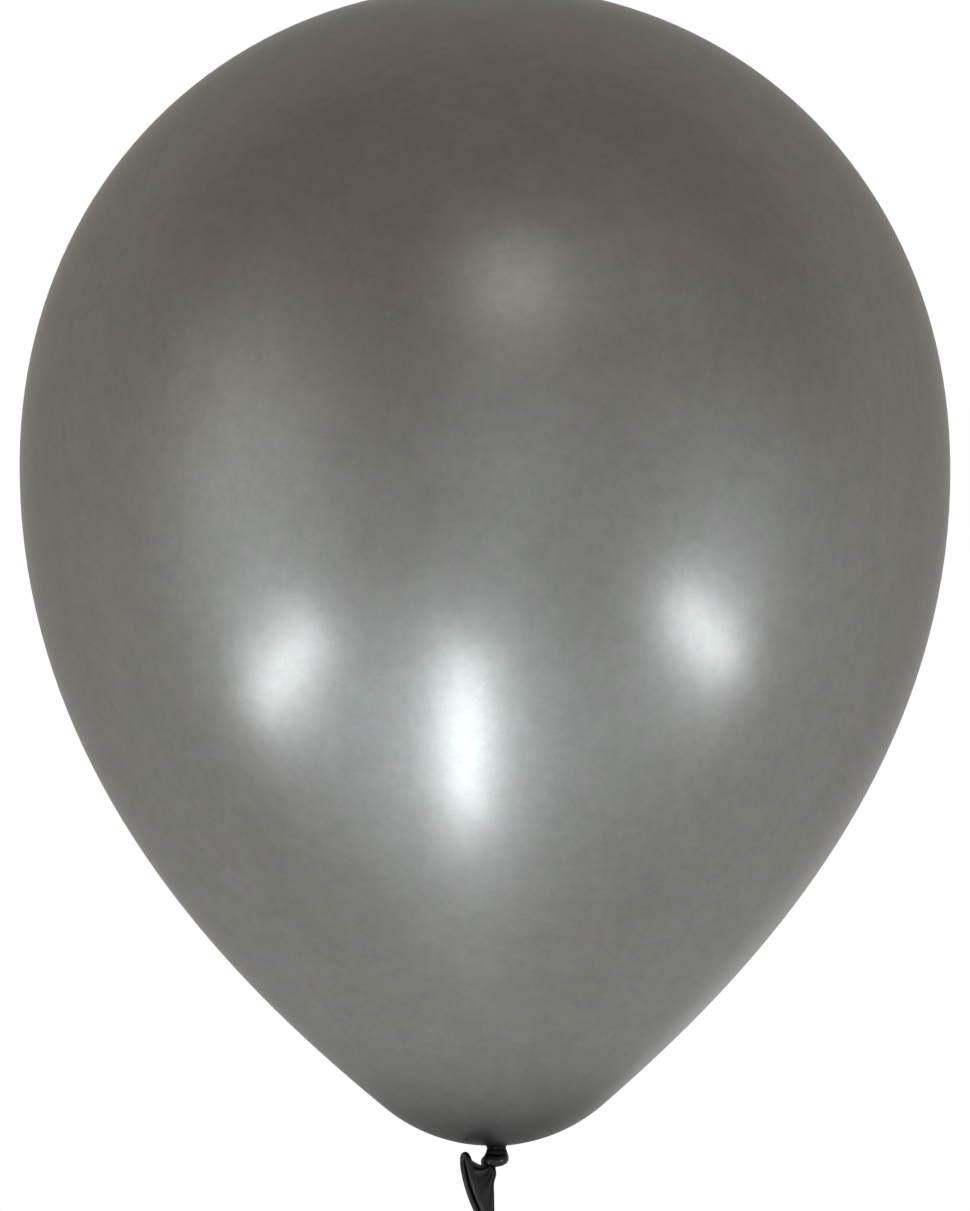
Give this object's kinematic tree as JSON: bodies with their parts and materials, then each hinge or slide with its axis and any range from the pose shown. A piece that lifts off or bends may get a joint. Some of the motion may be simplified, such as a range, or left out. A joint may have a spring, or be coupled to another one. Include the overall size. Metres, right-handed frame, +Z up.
{
  "type": "party balloon",
  "caption": "Round latex party balloon, blown up and tied: metallic envelope, short neck, overhand knot and a flared tail with a rolled lip.",
  "frame": {"origin": "in the middle of the neck, just under the envelope and above the knot, where a ribbon is tied round it", "axes": "+Z up along the envelope's axis to its crown, -Y towards the viewer, +X to the viewer's right; the tail's mouth faces -X and -Y"},
  "size_m": [0.3, 0.3, 0.4023],
  "materials": {
    "stretched_latex": "pearly metallic grey latex, stretched thin, with soft gloss",
    "slack_latex": "the same latex unstretched, nearly black, glossy"
  },
  "bodies": {
    "root": {"envelope": "stretched_latex", "neck": "slack_latex", "knot": "slack_latex", "tail": "slack_latex", "lip_bead": "slack_latex"}
  },
  "joints": []
}
